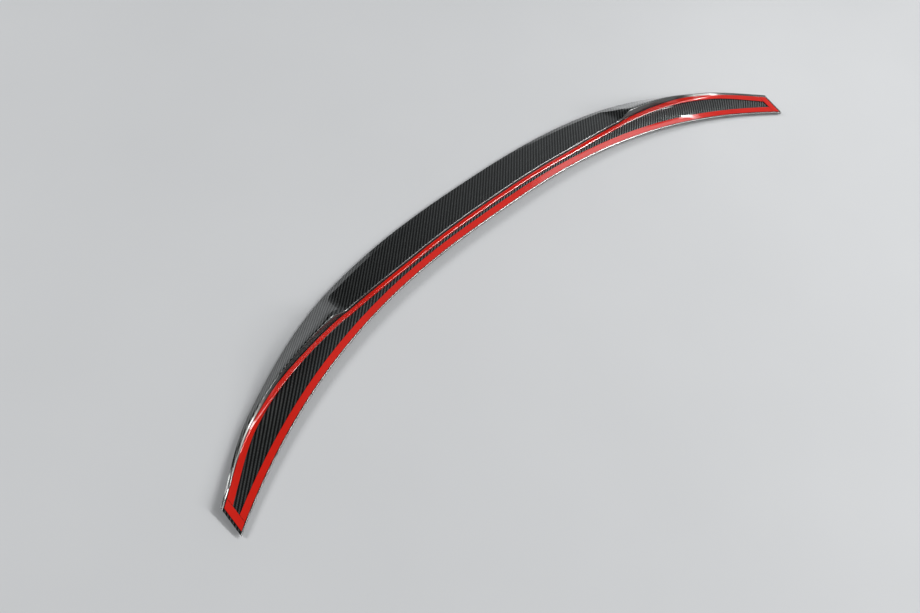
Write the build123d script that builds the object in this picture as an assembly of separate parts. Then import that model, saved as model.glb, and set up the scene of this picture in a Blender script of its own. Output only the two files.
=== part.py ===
from build123d import *
import math
import os

# Boot-lid lip spoiler lying tape side up: X across the car, +Y towards the car's rear, Z up from the floor.
# All sizes are in millimetres. Places along X are measured from the middle or from the tips.

# Front edge: plan curve, and height above the floor in the middle and at the tips
HALF_SPAN = 620.0
BOW = 164.5
BOW_POWER = 2.55
FRONT_HEIGHT_MID = 11.0
FRONT_HEIGHT_TIP = 3.0
FRONT_HEIGHT_POWER = 2.6

# Two moulded skins and the glue between them
SKIN = 2.0
BOND_LINE = 0.3
EDGE_ROUND = 1.6

# Show surface, which faces the floor here: its hollow over the chord from front edge to lip
SWEEP_MID = 7.5
SWEEP_TIP = 0.4

# Lip, measured back from the front edge, and its rise towards the tips
REACH = 86.5
REACH_TIP = 64.0
REACH_TAPER_FROM = 302.0
REACH_TAPER_PAST_TIP = 40.0
LIP_RISE = 9.0
LIP_RISE_LENGTH = 150.0

# Seat for the boot lid: flange up to an inside corner, which leaves a narrow land before the lip at the tips
CORNER_MID = 19.4
TIP_LAND = 5.0
CORNER_SPREAD_FROM = 160.0
CORNER_SETTLE = 12.0
CORNER_DEPTH = 1.4
CORNER_RADIUS = 4.0
TIP_NARROWING = 18.0
TIP_NARROWING_LENGTH = 100.0

# Upright wall behind the corner, with a rounded rim
WALL_MID = 12.5
WALL_SHOULDER = 23.9
WALL_TIP = 1.6
WALL_ANGLE = 70.0
WALL_ANGLE_TIP = 23.0
WALL_LEAN_DELAY = 36.0
RIM_RADIUS = 2.2

# Flat on top of the rim, which widens at the shoulders
RIM_FLAT = 2.4
RIM_FLAT_SHOULDER = 8.5
RIM_FLAT_SPREAD = 34.0
RIM_FLAT_TIP = 0.8
RIM_FLAT_ANGLE = -12.0
RIM_BACK_RADIUS = 1.6

# Shoulders of the raised middle, where the wall steps up and the rear face has a fold
SHOULDER_AT = 310.0
SHOULDER_LENGTH = 32.0
FOLD_SHARE_MID = 0.95
FOLD_SHARE_SHOULDER = 0.76
FOLD_SHARE_TIP = 0.15
FOLD_POWER = 1.5
FOLD_PROUD = 3.2
FOLD_PROUD_TIP = 0.6
FOLD_RADIUS = 2.0

# Adhesive tape: foam core and release liner
TAPE_WIDTH = 10.0
FOAM = 1.1
LINER = 0.2
SEAT_GAP = 0.12
FRONT_TAPE_SETBACK = 0.4
REAR_TAPE_OFFSET = 0.3
REAR_TAPE_EASE = 3.0
RIM_MARGIN = 3.4
TIP_MARGIN = 3.8
BUTT_GAP = 0.5
REAR_JOINT_LEFT = -292.0
REAR_JOINT_RIGHT = 329.0

# Fineness of the lofts
STATION_COUNT = 24
SHOULDER_COUNT = 4
FLANGE_COUNT = 3
SWEEP_COUNT = 8
ARC_COUNT = 2
FRONT_TAPE_COUNT = 2
REAR_TAPE_COUNT = 4
TIP_TAPE_COUNT = 3
ROUND_ROOM = 0.45
SLOPE_STEP = 1.0

CORNER_TIP = REACH_TIP - TIP_LAND
SHOULDER_END = SHOULDER_AT + SHOULDER_LENGTH
EDGE_THICKNESS = 2 * SKIN + BOND_LINE
MIDDLE_Y = (BOW + REACH) / 2


def mix(first, second, share):
    return first + (second - first) * share


def ease(value, start, end):
    """Smooth step from 0 at start to 1 at end."""
    t = min(max((value - start) / (end - start), 0.0), 1.0)
    return t * t * (3 - 2 * t)


def front_y(x):
    return BOW * (1 - (abs(x) / HALF_SPAN) ** BOW_POWER) - MIDDLE_Y


def slant(line, x):
    """Length in a section for each unit of width square to a line in plan."""
    slope = (line(x + SLOPE_STEP) - line(x - SLOPE_STEP)) / (2 * SLOPE_STEP)
    return math.hypot(1, slope)


def front_z(x):
    return mix(FRONT_HEIGHT_MID, FRONT_HEIGHT_TIP, (abs(x) / HALF_SPAN) ** FRONT_HEIGHT_POWER)


def tip_cut(x):
    """How much the tips are narrower than the spread of the flange alone would make them."""
    return TIP_NARROWING * ease(abs(x), HALF_SPAN - TIP_NARROWING_LENGTH, HALF_SPAN + TIP_NARROWING)


def reach(x):
    taper = ease(abs(x), REACH_TAPER_FROM, HALF_SPAN + REACH_TAPER_PAST_TIP)
    return mix(REACH, REACH_TIP, taper) - tip_cut(x)


def lip_z(x):
    return LIP_RISE * ease(abs(x), HALF_SPAN - LIP_RISE_LENGTH, HALF_SPAN)


def corner_y(x):
    spread = ease(abs(x), CORNER_SPREAD_FROM, HALF_SPAN - CORNER_SETTLE)
    return mix(CORNER_MID, CORNER_TIP, spread) - tip_cut(x)


def show_z(x, back):
    """Height of the show surface, a given distance behind the front edge."""
    share = back / reach(x)
    hollow = mix(SWEEP_MID, SWEEP_TIP, ease(abs(x), SHOULDER_END, HALF_SPAN))
    return mix(front_z(x), lip_z(x), share) + hollow * 4 * share * (1 - share)


def seat_z(x, back):
    """Height of the flange that lies on the boot lid."""
    depth = CORNER_DEPTH * (1 - ease(abs(x), SHOULDER_END, HALF_SPAN))
    return show_z(x, back) + EDGE_THICKNESS + depth * back / corner_y(x)


def wall_length(x):
    fading = mix(WALL_SHOULDER, WALL_TIP, ease(abs(x), SHOULDER_END, HALF_SPAN))
    step = (WALL_SHOULDER - WALL_MID) * (1 - ease(abs(x), SHOULDER_AT, SHOULDER_END))
    return fading - step


def wall_angle(x):
    lean = ease(abs(x), SHOULDER_END + WALL_LEAN_DELAY, HALF_SPAN)
    return math.radians(mix(WALL_ANGLE, WALL_ANGLE_TIP, lean))


def rim_flat(x):
    """Width of the flat on top of the rim."""
    plain = mix(RIM_FLAT, RIM_FLAT_TIP, ease(abs(x), SHOULDER_END, HALF_SPAN))
    middle = SHOULDER_AT + SHOULDER_LENGTH / 2
    widening = 1 - ease(abs(abs(x) - middle), 0.0, RIM_FLAT_SPREAD)
    return mix(plain, RIM_FLAT_SHOULDER, widening)


def fold_share(x):
    """Place of the fold between rim and lip."""
    towards_shoulder = min(abs(x) / SHOULDER_AT, 1.0) ** FOLD_POWER
    middle = mix(FOLD_SHARE_MID, FOLD_SHARE_SHOULDER, towards_shoulder)
    return mix(middle, FOLD_SHARE_TIP, ease(abs(x), SHOULDER_AT, SHOULDER_END))


def fold_proud(x):
    """Height of the fold over the straight line from rim to lip."""
    middle = FOLD_PROUD * min(abs(x) / SHOULDER_AT, 1.0) ** FOLD_POWER
    return mix(middle, FOLD_PROUD_TIP, ease(abs(x), SHOULDER_AT, SHOULDER_END))


def seat_corners(x):
    """Corners of the underside in section: flange, inside corner, front and back of the rim, fold and lip."""
    corner = corner_y(x)
    flange = []
    for k in range(FLANGE_COUNT + 1):
        back = corner * k / FLANGE_COUNT
        flange.append((back, seat_z(x, back)))
    length = wall_length(x)
    angle = wall_angle(x)
    rim = (corner + length * math.cos(angle), flange[-1][1] + length * math.sin(angle))
    flat = rim_flat(x)
    tilt = math.radians(RIM_FLAT_ANGLE)
    rim_back = (rim[0] + flat * math.cos(tilt), rim[1] + flat * math.sin(tilt))
    lip = (reach(x), lip_z(x) + EDGE_THICKNESS)
    face = unit(rim_back, lip)
    share = fold_share(x)
    proud = fold_proud(x)
    fold = (
        mix(rim_back[0], lip[0], share) - face[1] * proud,
        mix(rim_back[1], lip[1], share) + face[0] * proud,
    )
    return flange + [rim, rim_back, fold, lip]


def seat_radii(edge_radius):
    rounds = [CORNER_RADIUS, RIM_RADIUS, RIM_BACK_RADIUS, FOLD_RADIUS]
    return [edge_radius] + [0.0] * (FLANGE_COUNT - 1) + rounds + [edge_radius]


def unit(start, end):
    length = math.dist(start, end)
    return ((end[0] - start[0]) / length, (end[1] - start[1]) / length)


def turn(before, after):
    cross = before[0] * after[1] - before[1] * after[0]
    return math.atan2(cross, before[0] * after[0] + before[1] * after[1])


def round_corner(before, corner, after, radius):
    """Points on the arc that rounds a corner, with the radius limited by the two sides."""
    arrive = unit(before, corner)
    leave = unit(corner, after)
    half_turn = turn(arrive, leave) / 2
    room = ROUND_ROOM * min(math.dist(before, corner), math.dist(corner, after))
    tangent = min(radius * abs(math.tan(half_turn)), room)
    points = []
    for k in range(ARC_COUNT + 1):
        t = k / ARC_COUNT
        first = (1 - t) ** 2
        middle = 2 * t * (1 - t) * math.cos(half_turn)
        last = t * t
        total = first + middle + last
        shift = [(last * leave[i] - first * arrive[i]) * tangent / total for i in (0, 1)]
        points.append((corner[0] + shift[0], corner[1] + shift[1]))
    return points


def rounded_loop(points, radii):
    """Closed outline with the corners rounded where a radius is given."""
    outline = []
    for k, radius in enumerate(radii):
        if radius:
            outline += round_corner(points[k - 1], points[k], points[(k + 1) % len(points)], radius)
        else:
            outline.append(points[k])
    return outline


def offset(points, distance):
    """Parallel open outline, to the left of the direction of travel for a positive distance."""
    moved = []
    last = len(points) - 1
    for k, point in enumerate(points):
        arrive = unit(points[max(k - 1, 0)], points[max(k, 1)])
        leave = unit(points[min(k, last - 1)], points[min(k + 1, last)])
        square = (-arrive[1] - leave[1], arrive[0] + leave[0])
        scale = distance / math.cos(turn(arrive, leave) / 2) / math.hypot(*square)
        moved.append((point[0] + square[0] * scale, point[1] + square[1] * scale))
    return moved


def all_stations():
    """Places of the sections over the whole span, closer together through the shoulders."""
    shoulder_step = SHOULDER_LENGTH / SHOULDER_COUNT
    half = [SHOULDER_AT + shoulder_step * k for k in range(-1, SHOULDER_COUNT + 2)]
    for k in range(STATION_COUNT + 1):
        place = HALF_SPAN * k / STATION_COUNT
        if min(abs(place - other) for other in half) > shoulder_step:
            half.append(place)
    return sorted({place for place in half} | {-place for place in half})


def stations(start, end):
    least = SHOULDER_LENGTH / SHOULDER_COUNT / 2
    return [start] + [x for x in all_stations() if start + least < x < end - least] + [end]


def loft_along(start, end, outline):
    """Solid through the sections: a spline rail for each outline point and a ruled face between neighbours."""
    places = stations(start, end)
    sections = [[(x, front_y(x) + back, height - rest) for back, height in outline(x)] for x in places]
    rails = [Edge.make_spline(list(points), parameters=places) for points in zip(*sections)]
    sides = [Face.make_surface_from_curves(a, b) for a, b in zip(rails, rails[1:] + rails[:1])]
    caps = [make_face(Polyline(*points, close=True)).face() for points in (sections[0], sections[-1])]
    return Solid(Shell(sides + caps))


def lower_skin_outline(x):
    """The skin that seats on the boot lid and closes the rear face."""
    outer = seat_corners(x)
    inner = offset(outer, -SKIN)
    inner[0] = (0.0, outer[0][1] - SKIN)
    inner[-1] = (outer[-1][0], outer[-1][1] - SKIN)
    return rounded_loop(outer + inner[::-1], seat_radii(EDGE_ROUND) + [0.0] * len(inner))


def upper_skin_outline(x):
    """The skin that shows on the car, from the front edge to the lip."""
    outer = []
    for k in range(SWEEP_COUNT + 1):
        back = reach(x) * k / SWEEP_COUNT
        outer.append((back, show_z(x, back)))
    inner = offset(outer, SKIN)
    inner[0] = (0.0, outer[0][1] + SKIN)
    inner[-1] = (outer[-1][0], outer[-1][1] + SKIN)
    radii = [EDGE_ROUND] + [0.0] * (SWEEP_COUNT - 1) + [EDGE_ROUND]
    return rounded_loop(outer + inner[::-1], radii + [0.0] * len(inner))


def seat_path(x):
    """Rounded underside, the length along it at each point, and that length at the inside corner."""
    path = rounded_loop(seat_corners(x), seat_radii(0.0))
    lengths = [0.0]
    for a, b in zip(path, path[1:]):
        lengths.append(lengths[-1] + math.dist(a, b))
    corner = (lengths[FLANGE_COUNT] + lengths[FLANGE_COUNT + ARC_COUNT]) / 2
    return path, lengths, corner


def along(path, lengths, place):
    """Point at a given length along a path."""
    k = 0
    while k < len(path) - 2 and lengths[k + 1] < place:
        k += 1
    share = (place - lengths[k]) / (lengths[k + 1] - lengths[k])
    return (mix(path[k][0], path[k + 1][0], share), mix(path[k][1], path[k + 1][1], share))


def soft_min(first, second):
    return (first + second - math.hypot(first - second, REAR_TAPE_EASE)) / 2


def corner_line(x):
    return front_y(x) + corner_y(x)


def front_tape_span(x):
    start = FRONT_TAPE_SETBACK + EDGE_ROUND
    stretch = slant(front_y, x)
    return start * stretch, (start + TAPE_WIDTH) * stretch


def rear_tape_span(x):
    """The strip sits on the wall, and slides over the inside corner where the wall is too low for it."""
    width = TAPE_WIDTH * slant(corner_line, x)
    corner = seat_path(x)[2]
    end = corner + soft_min(REAR_TAPE_OFFSET + width, wall_length(x) - RIM_MARGIN)
    return end - width, end


def tip_tape_span(x):
    return front_tape_span(x)[0], rear_tape_span(x)[1]


def tape_layer(start, end, span, count, low, high):
    """One layer of a strip between two heights over the skin."""
    def outline(x):
        path, lengths, corner = seat_path(x)
        first, last = span(x)
        base = [along(path, lengths, mix(first, last, k / count)) for k in range(count + 1)]
        return offset(base, low) + offset(base, high)[::-1]
    return loft_along(start, end, outline)


def save(name, shape):
    shape.label = name
    export_step(shape, os.path.join("parts", name + ".step"))


def save_tape(name, start, end, span, count):
    foam_top = SEAT_GAP + FOAM
    save(name + "_foam", tape_layer(start, end, span, count, SEAT_GAP, foam_top))
    save(name + "_liner", tape_layer(start, end, span, count, foam_top, foam_top + LINER))


os.makedirs("parts", exist_ok=True)

rest = min(height for x in all_stations() for back, height in upper_skin_outline(x))

save("upper_skin", loft_along(-HALF_SPAN, HALF_SPAN, upper_skin_outline))
save("lower_skin", loft_along(-HALF_SPAN, HALF_SPAN, lower_skin_outline))

tip_outer = HALF_SPAN - TIP_MARGIN
tip_inner = tip_outer - TAPE_WIDTH
strip_end = tip_inner - BUTT_GAP
half_butt = BUTT_GAP / 2
save_tape("front_tape", -strip_end, strip_end, front_tape_span, FRONT_TAPE_COUNT)
left_joint = REAR_JOINT_LEFT - half_butt, REAR_JOINT_LEFT + half_butt
right_joint = REAR_JOINT_RIGHT - half_butt, REAR_JOINT_RIGHT + half_butt
save_tape("rear_tape_left", -strip_end, left_joint[0], rear_tape_span, REAR_TAPE_COUNT)
save_tape("rear_tape_centre", left_joint[1], right_joint[0], rear_tape_span, REAR_TAPE_COUNT)
save_tape("rear_tape_right", right_joint[1], strip_end, rear_tape_span, REAR_TAPE_COUNT)
save_tape("tip_tape_left", -tip_outer, -tip_inner, tip_tape_span, TIP_TAPE_COUNT)
save_tape("tip_tape_right", tip_inner, tip_outer, tip_tape_span, TIP_TAPE_COUNT)
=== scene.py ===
import math

import bmesh
import bpy
from mathutils import Matrix, Vector


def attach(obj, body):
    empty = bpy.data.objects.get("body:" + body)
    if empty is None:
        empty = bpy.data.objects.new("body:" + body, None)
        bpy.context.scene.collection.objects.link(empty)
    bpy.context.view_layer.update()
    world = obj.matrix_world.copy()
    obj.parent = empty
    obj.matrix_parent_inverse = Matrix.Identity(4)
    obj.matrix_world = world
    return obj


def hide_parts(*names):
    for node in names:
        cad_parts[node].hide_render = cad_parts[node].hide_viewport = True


# Boot-lid lip spoiler lying tape side up: X across the car, +Y towards the car's rear, Z up from the floor.
# The skins and tapes are lofted again from the solids' own formulas, fine enough for a mirror-like coat.

# Form in millimetres, as in the solids: front edge
MM = 0.001
HALF_SPAN = 620.0
BOW = 164.5
BOW_POWER = 2.55
FRONT_HEIGHT_MID = 11.0
FRONT_HEIGHT_TIP = 3.0
FRONT_HEIGHT_POWER = 2.6

# Skins
SKIN = 2.0
BOND_LINE = 0.3
EDGE_ROUND = 1.6
SWEEP_MID = 7.5
SWEEP_TIP = 0.4

# Lip
REACH = 86.5
REACH_TIP = 64.0
REACH_TAPER_FROM = 302.0
REACH_TAPER_PAST_TIP = 40.0
LIP_RISE = 9.0
LIP_RISE_LENGTH = 150.0

# Seat, from the front edge to the inside corner
CORNER_MID = 19.4
TIP_LAND = 5.0
CORNER_SPREAD_FROM = 160.0
CORNER_SETTLE = 12.0
CORNER_DEPTH = 1.4
CORNER_RADIUS = 4.0
TIP_NARROWING = 18.0
TIP_NARROWING_LENGTH = 100.0

# Wall and rim
WALL_MID = 12.5
WALL_SHOULDER = 23.9
WALL_TIP = 1.6
WALL_ANGLE = 70.0
WALL_ANGLE_TIP = 23.0
WALL_LEAN_DELAY = 36.0
RIM_RADIUS = 2.2
RIM_FLAT = 2.4
RIM_FLAT_SHOULDER = 8.5
RIM_FLAT_SPREAD = 34.0
RIM_FLAT_TIP = 0.8
RIM_FLAT_ANGLE = -12.0
RIM_BACK_RADIUS = 1.6

# Shoulders and fold
SHOULDER_AT = 310.0
SHOULDER_LENGTH = 32.0
FOLD_SHARE_MID = 0.95
FOLD_SHARE_SHOULDER = 0.76
FOLD_SHARE_TIP = 0.15
FOLD_POWER = 1.5
FOLD_PROUD = 3.2
FOLD_PROUD_TIP = 0.6
FOLD_RADIUS = 2.0

# Tape
TAPE_WIDTH = 10.0
FOAM = 1.1
LINER = 0.2
SEAT_GAP = 0.12
FRONT_TAPE_SETBACK = 0.4
REAR_TAPE_OFFSET = 0.3
REAR_TAPE_EASE = 3.0
RIM_MARGIN = 3.4
TIP_MARGIN = 3.8
BUTT_GAP = 0.5
REAR_JOINT_LEFT = -292.0
REAR_JOINT_RIGHT = 329.0

# Fineness of the lofts
STATION_STEP = 4.0
SHOULDER_STEP = 2.0
FLANGE_COUNT = 4
FLANGE_FINE = 2 / 3
SWEEP_COUNT = 14
ARC_COUNT = 6
HIDDEN_COUNT = 8
LINER_COUNT = 24
ROUND_ROOM = 0.45
EDGE_ROOM = 0.62
SLOPE_STEP = 1.0
SHARP_FROM = math.radians(32)

CORNER_TIP = REACH_TIP - TIP_LAND
SHOULDER_END = SHOULDER_AT + SHOULDER_LENGTH
EDGE_THICKNESS = 2 * SKIN + BOND_LINE
MIDDLE_Y = (BOW + REACH) / 2

# Camera in metres, turned first about the upright, then down, then about its own line of sight
CAMERA_PLACE = (-0.6244, -0.3626, 1.0772)
CAMERA_YAW = math.radians(56.07)
CAMERA_PITCH = math.radians(62.47)
CAMERA_ROLL = math.radians(16.15)
FOCAL_PIXELS = 761.5
IMAGE_WIDTH = 920
SENSOR = 36.0
CLIP_START = 0.01

# Woven skin, in metres: twill of tows that float over two and dive under two
TOW = 0.0017
CLOTH_REPEAT = 4.0
FLOAT = 2.0
# Painted sheen: tows that run across are coloured light and tows that run along are coloured dark, standing
# in for the light their fibres reflect
TOW_PAINTED_SHADE = (0.006, 0.0065, 0.0065, 1)
TOW_PAINTED_SHEEN = (0.19, 0.20, 0.197, 1)

# Which way the rear face and the show face lie, by their slope and normals
REAR_FACE_SLOPE = math.radians(27)
REAR_FACE_FROM = 0.12
SHOW_FACE_BELOW = -0.3

# Relief of the tows: how square their crowns are, and how high they lie at the ends of a float
CROWN_POWER = 0.5
FLOAT_RISE = 0.6
FLOAT_ENDS = 0.4
TOW_RELIEF = 0.00012
TOW_BUMP = 0.3

# Fibres: how often they vary in a metre along and across a tow, and how much they and the tows shade
FIBRE_ALONG = 30.0
FIBRE_ACROSS = 1400.0
FIBRE_SHADE = 0.7
TOW_SHADE = 0.25
LEAST_SHADE = 0.5

# Gloss of the fibres and of the clear coat
TOW_METAL = 0.85
TOW_SPECULAR = 0.25
TOW_ROUGHNESS = 0.24
FIBRE_ROUGHNESS = 0.16
COAT_ROUGHNESS = 0.02
COAT_IOR = 1.5

# Plain resin on faces that look ahead: paler on the front edge than on the wall and its rim, partly as a
# painted highlight along the edge
EDGE_RESIN_AND_HIGHLIGHT = (0.17, 0.168, 0.162, 1)
WALL_RESIN = (0.06, 0.062, 0.061, 1)
NOSE_TOP = 0.017
WALL_FROM = 0.022
RESIN_FROM = 0.35
RESIN_FULL = 0.6
RESIN_LEVEL = 0.5

# Release liner: broad waves, and a fine grain that makes the gloss a little uneven
LINER_RED = (0.66, 0.015, 0.006, 1)
LINER_DEEP = (0.55, 0.011, 0.005, 1)
LINER_WAVES = 35.0
LINER_WAVE_DETAIL = 3.0
LINER_WAVE_HEIGHT = 2.0
LINER_GRAIN = 900.0
LINER_GRAIN_HEIGHT = 0.15
LINER_ROUGHNESS = 0.05
LINER_ROUGHNESS_SPAN = 0.05
LINER_IOR = 1.58
LINER_RELIEF = 0.0003
LINER_BUMP = 0.2

# Foam core
FOAM_DARK = (0.010, 0.010, 0.011, 1)
FOAM_LIGHT = (0.030, 0.030, 0.031, 1)
FOAM_CELLS = 2500.0
FOAM_ROUGHNESS = 0.85
FOAM_RELIEF = 0.0001
FOAM_BUMP = 0.5

# Floor
FLOOR_HALF = 6.0
FLOOR_PALE = (0.60, 0.61, 0.62, 1)
FLOOR_PALER = (0.65, 0.66, 0.67, 1)
FLOOR_CLOUDS = 3.0
FLOOR_CLOUD_DETAIL = 4.0
FLOOR_ROUGHNESS = 0.75

# Surround: dim on the left, brighter to the right and overhead
SKY = (0.94, 0.97, 1.0, 1)
SKY_DIM = 0.05
SKY_BRIGHT = 0.34
SKY_OVERHEAD = 0.3
SKY_DIM_TO = 0.25
SKY_BRIGHT_FROM = 0.85

# Nodes: usual detail of a noise, and where a mix node keeps its colours
NOISE_DETAIL = 2.0
MIX_FIRST_COLOR = 6
MIX_SECOND_COLOR = 7
MIX_COLOR = 2

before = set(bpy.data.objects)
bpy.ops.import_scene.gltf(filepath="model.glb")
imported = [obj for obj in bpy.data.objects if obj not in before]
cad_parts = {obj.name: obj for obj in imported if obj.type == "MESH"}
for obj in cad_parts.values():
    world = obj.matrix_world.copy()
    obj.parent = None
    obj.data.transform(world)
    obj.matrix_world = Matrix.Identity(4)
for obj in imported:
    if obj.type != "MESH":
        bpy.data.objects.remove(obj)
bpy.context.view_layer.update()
scene = bpy.context.scene
scene.view_settings.view_transform = "Standard"


def mix(first, second, share):
    return first + (second - first) * share


def ease(value, start, end):
    """Smooth step from 0 at start to 1 at end."""
    t = min(max((value - start) / (end - start), 0.0), 1.0)
    return t * t * (3 - 2 * t)


def front_y(x):
    """Front edge in plan."""
    return BOW * (1 - (abs(x) / HALF_SPAN) ** BOW_POWER) - MIDDLE_Y


def slant(line, x):
    """Length in a section for each unit of width square to a line in plan."""
    slope = (line(x + SLOPE_STEP) - line(x - SLOPE_STEP)) / (2 * SLOPE_STEP)
    return math.hypot(1, slope)


def front_z(x):
    """Height of the front edge."""
    return mix(FRONT_HEIGHT_MID, FRONT_HEIGHT_TIP, (abs(x) / HALF_SPAN) ** FRONT_HEIGHT_POWER)


def tip_cut(x):
    """How much the tips are narrower than the spread of the flange alone would make them."""
    return TIP_NARROWING * ease(abs(x), HALF_SPAN - TIP_NARROWING_LENGTH, HALF_SPAN + TIP_NARROWING)


def reach(x):
    """Distance from the front edge back to the lip."""
    taper = ease(abs(x), REACH_TAPER_FROM, HALF_SPAN + REACH_TAPER_PAST_TIP)
    return mix(REACH, REACH_TIP, taper) - tip_cut(x)


def lip_z(x):
    """Height of the lip, which rises towards the tips."""
    return LIP_RISE * ease(abs(x), HALF_SPAN - LIP_RISE_LENGTH, HALF_SPAN)


def corner_y(x):
    """Distance from the front edge back to the inside corner."""
    spread = ease(abs(x), CORNER_SPREAD_FROM, HALF_SPAN - CORNER_SETTLE)
    return mix(CORNER_MID, CORNER_TIP, spread) - tip_cut(x)


def show_z(x, back):
    """Height of the show surface, a given distance behind the front edge."""
    share = back / reach(x)
    hollow = mix(SWEEP_MID, SWEEP_TIP, ease(abs(x), SHOULDER_END, HALF_SPAN))
    return mix(front_z(x), lip_z(x), share) + hollow * 4 * share * (1 - share)


def seat_z(x, back):
    """Height of the flange that lies on the boot lid."""
    depth = CORNER_DEPTH * (1 - ease(abs(x), SHOULDER_END, HALF_SPAN))
    return show_z(x, back) + EDGE_THICKNESS + depth * back / corner_y(x)


def wall_length(x):
    """Length of the wall in section, stepping up at the shoulders and fading to the tips."""
    fading = mix(WALL_SHOULDER, WALL_TIP, ease(abs(x), SHOULDER_END, HALF_SPAN))
    step = (WALL_SHOULDER - WALL_MID) * (1 - ease(abs(x), SHOULDER_AT, SHOULDER_END))
    return fading - step


def wall_angle(x):
    """Slope of the wall, which leans over towards the tips."""
    lean = ease(abs(x), SHOULDER_END + WALL_LEAN_DELAY, HALF_SPAN)
    return math.radians(mix(WALL_ANGLE, WALL_ANGLE_TIP, lean))


def rim_flat(x):
    """Width of the flat on top of the rim."""
    resin_and_edge_highlight = mix(RIM_FLAT, RIM_FLAT_TIP, ease(abs(x), SHOULDER_END, HALF_SPAN))
    middle = SHOULDER_AT + SHOULDER_LENGTH / 2
    widening = 1 - ease(abs(abs(x) - middle), 0.0, RIM_FLAT_SPREAD)
    return mix(resin_and_edge_highlight, RIM_FLAT_SHOULDER, widening)


def fold_share(x):
    """Place of the fold between rim and lip."""
    towards_shoulder = min(abs(x) / SHOULDER_AT, 1.0) ** FOLD_POWER
    middle = mix(FOLD_SHARE_MID, FOLD_SHARE_SHOULDER, towards_shoulder)
    return mix(middle, FOLD_SHARE_TIP, ease(abs(x), SHOULDER_AT, SHOULDER_END))


def fold_proud(x):
    """Height of the fold over the straight line from rim to lip."""
    middle = FOLD_PROUD * min(abs(x) / SHOULDER_AT, 1.0) ** FOLD_POWER
    return mix(middle, FOLD_PROUD_TIP, ease(abs(x), SHOULDER_AT, SHOULDER_END))


def unit(start, end):
    """Direction from one point of a section to another."""
    length = math.dist(start, end)
    return ((end[0] - start[0]) / length, (end[1] - start[1]) / length)


def turn(before, after):
    """Angle from one direction to another."""
    cross = before[0] * after[1] - before[1] * after[0]
    return math.atan2(cross, before[0] * after[0] + before[1] * after[1])


def seat_corners(x):
    """Corners of the underside in section: flange, inside corner, front and back of the rim, fold and lip."""
    corner = corner_y(x)
    flange = []
    for k in range(FLANGE_COUNT):
        back = corner * FLANGE_FINE * k / (FLANGE_COUNT - 1)
        flange.append((back, seat_z(x, back)))
    flange.append((corner, seat_z(x, corner)))
    length = wall_length(x)
    angle = wall_angle(x)
    rim = (corner + length * math.cos(angle), flange[-1][1] + length * math.sin(angle))
    flat = rim_flat(x)
    tilt = math.radians(RIM_FLAT_ANGLE)
    rim_back = (rim[0] + flat * math.cos(tilt), rim[1] + flat * math.sin(tilt))
    lip = (reach(x), lip_z(x) + EDGE_THICKNESS)
    face = unit(rim_back, lip)
    share = fold_share(x)
    proud = fold_proud(x)
    fold = (
        mix(rim_back[0], lip[0], share) - face[1] * proud,
        mix(rim_back[1], lip[1], share) + face[0] * proud,
    )
    return flange + [rim, rim_back, fold, lip]


def seat_radii(edge_radius):
    """Radius at each of the seat's corners."""
    rounds = [CORNER_RADIUS, RIM_RADIUS, RIM_BACK_RADIUS, FOLD_RADIUS]
    return [edge_radius] + [0.0] * (FLANGE_COUNT - 1) + rounds + [edge_radius]


def round_corner(before, corner, after, radius, share):
    """Points on the arc that rounds a corner, which takes no more than a share of the shorter side."""
    arrive = unit(before, corner)
    leave = unit(corner, after)
    half_turn = turn(arrive, leave) / 2
    room = share * min(math.dist(before, corner), math.dist(corner, after))
    tangent = min(radius * abs(math.tan(half_turn)), room)
    points = []
    for k in range(ARC_COUNT + 1):
        t = k / ARC_COUNT
        first = (1 - t) ** 2
        middle = 2 * t * (1 - t) * math.cos(half_turn)
        last = t * t
        total = first + middle + last
        shift = [(last * leave[i] - first * arrive[i]) * tangent / total for i in (0, 1)]
        points.append((corner[0] + shift[0], corner[1] + shift[1]))
    return points


def rounded_loop(points, radii, edges=()):
    """Closed outline with the corners rounded where a radius is given."""
    outline = []
    for k, radius in enumerate(radii):
        share = EDGE_ROOM if k in edges else ROUND_ROOM
        if radius:
            outline += round_corner(points[k - 1], points[k], points[(k + 1) % len(points)], radius, share)
        else:
            outline.append(points[k])
    return outline


def offset(points, distance):
    """Parallel open outline, to the left of the direction of travel for a positive distance."""
    moved = []
    last = len(points) - 1
    for k, point in enumerate(points):
        arrive = unit(points[max(k - 1, 0)], points[max(k, 1)])
        leave = unit(points[min(k, last - 1)], points[min(k + 1, last)])
        square = (-arrive[1] - leave[1], arrive[0] + leave[0])
        scale = distance / math.cos(turn(arrive, leave) / 2) / math.hypot(*square)
        moved.append((point[0] + square[0] * scale, point[1] + square[1] * scale))
    return moved


def stations(start, end):
    """Places of the sections, closer together through the shoulders."""
    places = []
    x = start
    while x < end - SHOULDER_STEP:
        places.append(x)
        near = SHOULDER_AT - STATION_STEP < abs(x) < SHOULDER_END + STATION_STEP
        x += SHOULDER_STEP if near else STATION_STEP
    return places + [end]


def lower_skin_outline(x):
    """The skin that seats on the boot lid and closes the rear face."""
    outer = seat_corners(x)
    inner = offset(outer, -SKIN)
    inner[0] = (0.0, outer[0][1] - SKIN)
    inner[-1] = (outer[-1][0], outer[-1][1] - SKIN)
    edges = (0, len(outer) - 1)
    return rounded_loop(outer + inner[::-1], seat_radii(EDGE_ROUND) + [0.0] * len(inner), edges)


def upper_skin_outline(x):
    """The skin that shows on the car, from the front edge to the lip."""
    outer = []
    for k in range(SWEEP_COUNT + 1):
        back = reach(x) * k / SWEEP_COUNT
        outer.append((back, show_z(x, back)))
    inner = offset(outer, SKIN)
    inner[0] = (0.0, outer[0][1] + SKIN)
    inner[-1] = (outer[-1][0], outer[-1][1] + SKIN)
    radii = [EDGE_ROUND] + [0.0] * (SWEEP_COUNT - 1) + [EDGE_ROUND]
    return rounded_loop(outer + inner[::-1], radii + [0.0] * len(inner), (0, SWEEP_COUNT))


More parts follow.
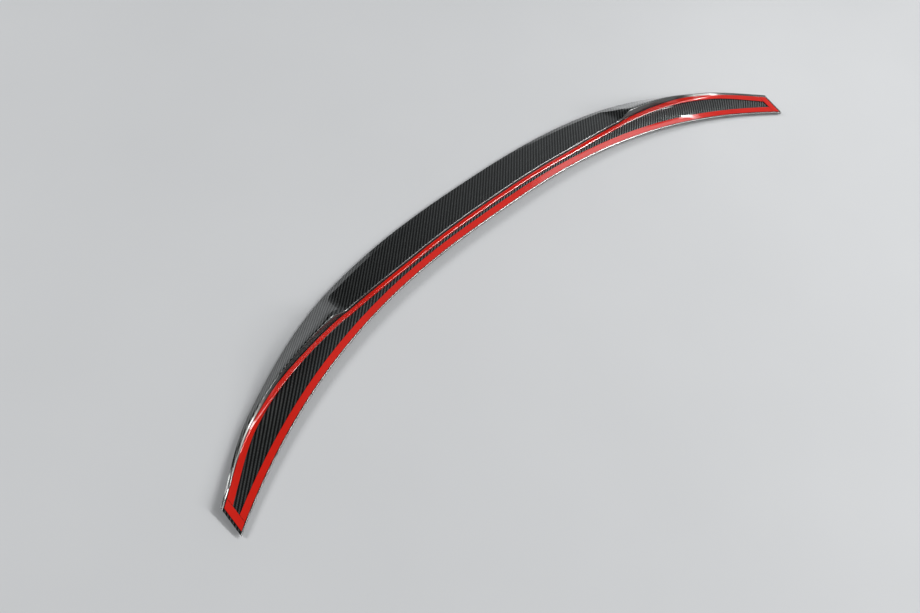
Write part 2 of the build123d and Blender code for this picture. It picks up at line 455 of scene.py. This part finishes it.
def seat_path(x):
    """Rounded underside, the length along it at each point, and that length at the inside corner."""
    path = rounded_loop(seat_corners(x), seat_radii(0.0))
    lengths = [0.0]
    for a, b in zip(path, path[1:]):
        lengths.append(lengths[-1] + math.dist(a, b))
    corner = (lengths[FLANGE_COUNT] + lengths[FLANGE_COUNT + ARC_COUNT]) / 2
    return path, lengths, corner


def along(path, lengths, place):
    """Point at a given length along a path."""
    k = 0
    while k < len(path) - 2 and lengths[k + 1] < place:
        k += 1
    share = (place - lengths[k]) / (lengths[k + 1] - lengths[k])
    return (mix(path[k][0], path[k + 1][0], share), mix(path[k][1], path[k + 1][1], share))


def soft_min(first, second):
    """The smaller of two lengths, with an easy change from one to the other."""
    return (first + second - math.hypot(first - second, REAR_TAPE_EASE)) / 2


def corner_line(x):
    """Inside corner in plan."""
    return front_y(x) + corner_y(x)


def front_tape_span(x):
    """The strip follows the front edge."""
    start = FRONT_TAPE_SETBACK + EDGE_ROUND
    stretch = slant(front_y, x)
    return start * stretch, (start + TAPE_WIDTH) * stretch


def rear_tape_span(x):
    """The strip sits on the wall, and slides over the inside corner where the wall is too low for it."""
    width = TAPE_WIDTH * slant(corner_line, x)
    corner = seat_path(x)[2]
    end = corner + soft_min(REAR_TAPE_OFFSET + width, wall_length(x) - RIM_MARGIN)
    return end - width, end


def tip_tape_span(x):
    """The strip reaches from the front strip's outer edge to the rear strip's."""
    return front_tape_span(x)[0], rear_tape_span(x)[1]


def add(name, data):
    piece = bpy.data.objects.new(name, data)
    scene.collection.objects.link(piece)
    return piece


def loft(node, start, end, outline, slot):
    """Closed smooth shell through the sections, which stands for one node of the frame."""
    places = stations(start, end)
    sections = [outline(x) for x in places]
    count = len(sections[0])
    shell = bmesh.new()
    rings = []
    for x, section in zip(places, sections):
        ring = []
        for back, height in section:
            ring.append(shell.verts.new((x * MM, (front_y(x) + back) * MM, (height - rest) * MM)))
        rings.append(ring)
    for ring, following in zip(rings, rings[1:]):
        for k in range(count):
            shell.faces.new((ring[k - 1], ring[k], following[k], following[k - 1]))
    shell.faces.new(rings[0])
    shell.faces.new(rings[-1])
    bmesh.ops.recalc_face_normals(shell, faces=shell.faces)
    mesh = bpy.data.meshes.new(node + "_shell")
    shell.to_mesh(mesh)
    shell.free()
    mesh.shade_smooth()
    mesh.set_sharp_from_angle(angle=SHARP_FROM)
    mesh.materials.append(finishes[slot])
    piece = add(node + "_shell", mesh)
    even = piece.modifiers.new("even_normals", "WEIGHTED_NORMAL")
    even.keep_sharp = True
    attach(piece, "root")
    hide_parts(node)


def tape_layer(node, start, end, span, low, high, count, slot):
    """One layer of a strip between two heights over the skin."""
    def outline(x):
        path, lengths = seat_path(x)[:2]
        first, last = span(x)

        def spread(parts):
            return [along(path, lengths, mix(first, last, k / parts)) for k in range(parts + 1)]

        return offset(spread(HIDDEN_COUNT), low) + offset(spread(count), high)[::-1]
    loft(node, start, end, outline, slot)


def tape(name, start, end, span):
    """Foam core and release liner of one strip."""
    foam_top = SEAT_GAP + FOAM
    tape_layer(name + "_foam", start, end, span, SEAT_GAP, foam_top, HIDDEN_COUNT, "tape_foam")
    tape_layer(name + "_liner", start, end, span, foam_top, foam_top + LINER, LINER_COUNT, "tape_liner")


def make_camera():
    """The photograph's viewing angle."""
    ahead = Vector((
        math.cos(CAMERA_PITCH) * math.sin(CAMERA_YAW),
        math.cos(CAMERA_PITCH) * math.cos(CAMERA_YAW),
        -math.sin(CAMERA_PITCH),
    ))
    level = Vector((math.cos(CAMERA_YAW), -math.sin(CAMERA_YAW), 0.0))
    above = level.cross(ahead)
    right = math.cos(CAMERA_ROLL) * level + math.sin(CAMERA_ROLL) * above
    up = -math.sin(CAMERA_ROLL) * level + math.cos(CAMERA_ROLL) * above
    data = bpy.data.cameras.new("camera")
    data.sensor_width = SENSOR
    data.lens = SENSOR * FOCAL_PIXELS / IMAGE_WIDTH
    data.clip_start = CLIP_START
    camera = add("camera", data)
    facing = Matrix((right, up, -ahead)).transposed().to_4x4()
    camera.matrix_world = Matrix.Translation(CAMERA_PLACE) @ facing
    scene.camera = camera


class Tree:
    """Short calls that add nodes to one material or world."""

    def __init__(self, owner):
        owner.use_nodes = True
        self.owner = owner
        self.nodes = owner.node_tree.nodes
        self.links = owner.node_tree.links
        self.shader = self.nodes.get("Principled BSDF") or self.nodes.get("Background")
        self.place = self.nodes.new("ShaderNodeTexCoord")

    def feed(self, socket, value):
        """Link a node's result, or write a plain value."""
        if isinstance(value, bpy.types.NodeSocket):
            self.links.new(value, socket)
        else:
            socket.default_value = value

    def math(self, operation, first, second=0.0, third=0.0):
        node = self.nodes.new("ShaderNodeMath")
        node.operation = operation
        for socket, value in zip(node.inputs, (first, second, third)):
            self.feed(socket, value)
        return node.outputs[0]

    def parts(self, vector):
        node = self.nodes.new("ShaderNodeSeparateXYZ")
        self.feed(node.inputs[0], vector)
        return node.outputs

    def vector(self, x, y, z):
        node = self.nodes.new("ShaderNodeCombineXYZ")
        for socket, value in zip(node.inputs, (x, y, z)):
            self.feed(socket, value)
        return node.outputs[0]

    def between(self, share, first, second):
        """One number where share is 0 and another where it is 1."""
        node = self.nodes.new("ShaderNodeMix")
        self.feed(node.inputs["Factor"], share)
        self.feed(node.inputs["A"], first)
        self.feed(node.inputs["B"], second)
        return node.outputs["Result"]

    def color(self, share, first, second):
        """One colour where share is 0 and another where it is 1."""
        node = self.nodes.new("ShaderNodeMix")
        node.data_type = "RGBA"
        self.feed(node.inputs["Factor"], share)
        self.feed(node.inputs[MIX_FIRST_COLOR], first)
        self.feed(node.inputs[MIX_SECOND_COLOR], second)
        return node.outputs[MIX_COLOR]

    def smooth(self, value, low, high):
        """Smooth step from 0 at low to 1 at high."""
        node = self.nodes.new("ShaderNodeMapRange")
        node.interpolation_type = "SMOOTHSTEP"
        self.feed(node.inputs["Value"], value)
        node.inputs["From Min"].default_value = low
        node.inputs["From Max"].default_value = high
        return node.outputs["Result"]

    def noise(self, vector, scale=1.0, detail=NOISE_DETAIL):
        node = self.nodes.new("ShaderNodeTexNoise")
        self.feed(node.inputs["Vector"], vector)
        node.inputs["Scale"].default_value = scale
        node.inputs["Detail"].default_value = detail
        return node.outputs["Fac"]

    def speckle(self, vector):
        """A number of its own for each whole place."""
        node = self.nodes.new("ShaderNodeTexWhiteNoise")
        self.feed(node.inputs["Vector"], vector)
        return node.outputs["Value"]

    def bump(self, height, distance, strength):
        node = self.nodes.new("ShaderNodeBump")
        node.inputs["Distance"].default_value = distance
        node.inputs["Strength"].default_value = strength
        self.feed(node.inputs["Height"], height)
        self.feed(self.shader.inputs["Normal"], node.outputs["Normal"])

    def set(self, **values):
        """Values for the shader's sockets, by their names."""
        for name, value in values.items():
            self.feed(self.shader.inputs[name.replace("_", " ")], value)


def carbon_cloth():
    """Twill of tows painted light and dark for the sheen of their fibres, with fine fibres along each tow,
    under a smooth clear coat.
    """
    tree = Tree(bpy.data.materials.new("carbon"))
    x, y, z = tree.parts(tree.place.outputs["Object"])
    facing = tree.parts(tree.place.outputs["Normal"])

    # Length along the section: over flange and wall, down the rear face, or along the show face
    seat = tree.math("ADD", y, z)
    down = tree.math("MULTIPLY", z, math.sin(REAR_FACE_SLOPE))
    rear = tree.math("SUBTRACT", tree.math("MULTIPLY", y, math.cos(REAR_FACE_SLOPE)), down)
    on_rear = tree.math("GREATER_THAN", facing[1], REAR_FACE_FROM)
    on_show = tree.math("LESS_THAN", facing[2], SHOW_FACE_BELOW)
    section = tree.between(on_show, tree.between(on_rear, seat, rear), y)

    across = tree.math("DIVIDE", x, TOW)
    along_y = tree.math("DIVIDE", section, TOW)
    column = tree.math("FLOOR", across)
    row = tree.math("FLOOR", along_y)
    in_column = tree.math("SUBTRACT", across, column)
    in_row = tree.math("SUBTRACT", along_y, row)
    step = tree.math("FLOORED_MODULO", tree.math("SUBTRACT", column, row), CLOTH_REPEAT)
    crosswise = tree.math("LESS_THAN", step, FLOAT)

    # Each tow is round across its width and dips at both ends of its float
    back = tree.math("SUBTRACT", tree.math("SUBTRACT", step, in_row), FLOAT - 1)
    travel = tree.between(crosswise, back, tree.math("ADD", step, in_column))
    rise = tree.math("SINE", tree.math("MULTIPLY", travel, math.pi / FLOAT))
    side = tree.between(crosswise, in_column, in_row)
    crown = tree.math("SINE", tree.math("MULTIPLY", side, math.pi))
    crown = tree.math("POWER", crown, CROWN_POWER)
    height = tree.math("MULTIPLY", crown, tree.math("MULTIPLY_ADD", rise, FLOAT_RISE, FLOAT_ENDS))

    # Fibres run along the tow, and each tow has its own shade
    long_x = tree.math("MULTIPLY", x, FIBRE_ALONG)
    long_y = tree.math("MULTIPLY", section, FIBRE_ALONG)
    fine_x = tree.math("MULTIPLY", x, FIBRE_ACROSS)
    fine_y = tree.math("MULTIPLY", section, FIBRE_ACROSS)
    fibre_x = tree.noise(tree.vector(long_x, fine_y, 0.0))
    fibre_y = tree.noise(tree.vector(fine_x, long_y, 0.0))
    fibre = tree.between(crosswise, fibre_y, fibre_x)
    own = tree.speckle(tree.vector(tree.between(crosswise, column, row), crosswise, 0.0))
    shade = tree.math("MULTIPLY_ADD", fibre, FIBRE_SHADE, LEAST_SHADE)
    shade = tree.math("MULTIPLY_ADD", own, TOW_SHADE, shade)
    # Painted highlight and shade: the colour is lighter on the crown of each tow, and darker at its sides and
    # where it dips at the ends of its float; fibres and each tow's own shade vary it at random
    crown_light_and_tone = tree.math("MULTIPLY", height, shade)

    # The tows hardly show under the resin on the wall and its rim, or on the trimmed front edge, whose paler
    # colour is partly resin and partly a painted highlight
    ahead = tree.math("MULTIPLY", facing[1], -1.0)
    edge = tree.smooth(ahead, RESIN_FROM, RESIN_FULL)
    # Painted highlight: below NOSE_TOP the front edge is coloured paler than the wall, partly resin and
    # partly the light line along the edge
    resin_and_edge_highlight = tree.color(tree.smooth(z, NOSE_TOP, WALL_FROM), EDGE_RESIN_AND_HIGHLIGHT, WALL_RESIN)
    # Painted sheen: the tows running across get the light colour, the others the dark one
    tow_sheen = tree.color(crosswise, TOW_PAINTED_SHADE, TOW_PAINTED_SHEEN)
    # Colour of the cloth with its painted highlights on the crowns and painted shade at the sides and dips
    painted_cloth = tree.color(crown_light_and_tone, TOW_PAINTED_SHADE, tow_sheen)
    tree.set(Base_Color=tree.color(edge, painted_cloth, resin_and_edge_highlight))
    tree.set(Roughness=tree.math("MULTIPLY_ADD", fibre, FIBRE_ROUGHNESS, TOW_ROUGHNESS))
    tree.set(Metallic=TOW_METAL, Specular_IOR_Level=TOW_SPECULAR)
    tree.set(Coat_Weight=1.0, Coat_Roughness=COAT_ROUGHNESS, Coat_IOR=COAT_IOR)
    tree.bump(tree.between(edge, height, RESIN_LEVEL), TOW_RELIEF, TOW_BUMP)
    return tree.owner


def liner_film():
    """Glossy red release film with faint waves and a slightly uneven colour."""
    tree = Tree(bpy.data.materials.new("tape_liner"))
    place = tree.place.outputs["Object"]
    broad = tree.noise(place, LINER_WAVES, LINER_WAVE_DETAIL)
    fine = tree.noise(place, LINER_GRAIN)
    tree.set(Base_Color=tree.color(broad, LINER_DEEP, LINER_RED))
    tree.set(Roughness=tree.math("MULTIPLY_ADD", fine, LINER_ROUGHNESS_SPAN, LINER_ROUGHNESS), IOR=LINER_IOR)
    grain = tree.math("MULTIPLY", fine, LINER_GRAIN_HEIGHT)
    tree.bump(tree.math("MULTIPLY_ADD", broad, LINER_WAVE_HEIGHT, grain), LINER_RELIEF, LINER_BUMP)
    return tree.owner


def foam_core():
    """Matt dark acrylic foam with fine cells."""
    tree = Tree(bpy.data.materials.new("tape_foam"))
    cells = tree.noise(tree.place.outputs["Object"], FOAM_CELLS)
    tree.set(Base_Color=tree.color(cells, FOAM_DARK, FOAM_LIGHT), Roughness=FOAM_ROUGHNESS)
    tree.bump(cells, FOAM_RELIEF, FOAM_BUMP)
    return tree.owner


def floor_finish():
    """Plain pale matt floor, very slightly clouded."""
    tree = Tree(bpy.data.materials.new("floor"))
    cloud = tree.noise(tree.place.outputs["Object"], FLOOR_CLOUDS, FLOOR_CLOUD_DETAIL)
    tree.set(Base_Color=tree.color(cloud, FLOOR_PALE, FLOOR_PALER), Roughness=FLOOR_ROUGHNESS)
    return tree.owner


def make_floor():
    half = FLOOR_HALF
    corners = [(-half, -half, 0), (half, -half, 0), (half, half, 0), (-half, half, 0)]
    mesh = bpy.data.meshes.new("floor")
    mesh.from_pydata(corners, [], [range(len(corners))])
    mesh.materials.append(floor_finish())
    add("floor", mesh)


def make_sky():
    """Dim studio surround that is brighter on the right and a little brighter overhead."""
    scene.world = bpy.data.worlds.new("studio")
    tree = Tree(scene.world)
    way = tree.parts(tree.place.outputs["Generated"])
    side = tree.math("MULTIPLY_ADD", way["Z"], SKY_OVERHEAD, way["X"])
    bright = tree.smooth(side, SKY_DIM_TO, SKY_BRIGHT_FROM)
    tree.set(Color=SKY, Strength=tree.between(bright, SKY_DIM, SKY_BRIGHT))


def make_light(name, start, end, width, radiance, target=(0, 0, 0)):
    """Rectangular soft light from one end point to another, facing a target, set by how bright it looks."""
    start = Vector(start)
    end = Vector(end)
    middle = (start + end) / 2
    along = (end - start).normalized()
    away = middle - Vector(target)
    away = (away - away.dot(along) * along).normalized()
    length = (end - start).length
    data = bpy.data.lights.new(name, "AREA")
    data.shape = "RECTANGLE"
    data.size = length
    data.size_y = width
    data.energy = radiance * math.pi * length * width
    light = add(name, data)
    facing = Matrix((along, away.cross(along), away)).transposed().to_4x4()
    light.matrix_world = Matrix.Translation(middle) @ facing


def make_lights():
    """Windows ahead on the right for the edges and the bend, soft panels on both sides, and a small lamp."""
    make_light(
        "far_window", start=(4.6, -9.4, 4.9), end=(6.8, -8.6, 4.9),
        width=2.6, radiance=16.0,
    )
    make_light(
        "slim_window", start=(1.02, -3.66, 2.95), end=(1.64, -3.66, 2.95),
        width=0.7, radiance=16.0, target=(-0.4, 0, 0),
    )
    make_light(
        "near_window", start=(3.12, -0.96, 4.05), end=(2.35, -3.60, 2.81),
        width=0.30, radiance=54.0, target=(0.35, 0, 0),
    )
    make_light(
        "right_panel", start=(2.80, -0.45, 4.35), end=(3.55, -0.45, 3.80),
        width=0.7, radiance=2.0, target=(0.3, 0, 0),
    )
    make_light(
        "back_soft_box", start=(-3.7, 2.3, 3.2), end=(-2.1, 3.6, 3.2),
        width=1.6, radiance=11.0,
    )
    make_light(
        "lamp", start=(0.765, -0.022, 0.395), end=(0.799, 0.038, 0.365),
        width=0.026, radiance=24.0, target=(0.445, -0.018, 0),
    )


make_camera()
make_sky()
make_lights()
make_floor()

finishes = {"carbon": carbon_cloth(), "tape_liner": liner_film(), "tape_foam": foam_core()}

rest = min(height for x in stations(-HALF_SPAN, HALF_SPAN) for back, height in upper_skin_outline(x))
loft("upper_skin", -HALF_SPAN, HALF_SPAN, upper_skin_outline, "carbon")
loft("lower_skin", -HALF_SPAN, HALF_SPAN, lower_skin_outline, "carbon")

tip_outer = HALF_SPAN - TIP_MARGIN
tip_inner = tip_outer - TAPE_WIDTH
strip_end = tip_inner - BUTT_GAP
half_butt = BUTT_GAP / 2
tape("front_tape", -strip_end, strip_end, front_tape_span)
tape("rear_tape_left", -strip_end, REAR_JOINT_LEFT - half_butt, rear_tape_span)
tape("rear_tape_centre", REAR_JOINT_LEFT + half_butt, REAR_JOINT_RIGHT - half_butt, rear_tape_span)
tape("rear_tape_right", REAR_JOINT_RIGHT + half_butt, strip_end, rear_tape_span)
tape("tip_tape_left", -tip_outer, -tip_inner, tip_tape_span)
tape("tip_tape_right", tip_inner, tip_outer, tip_tape_span)
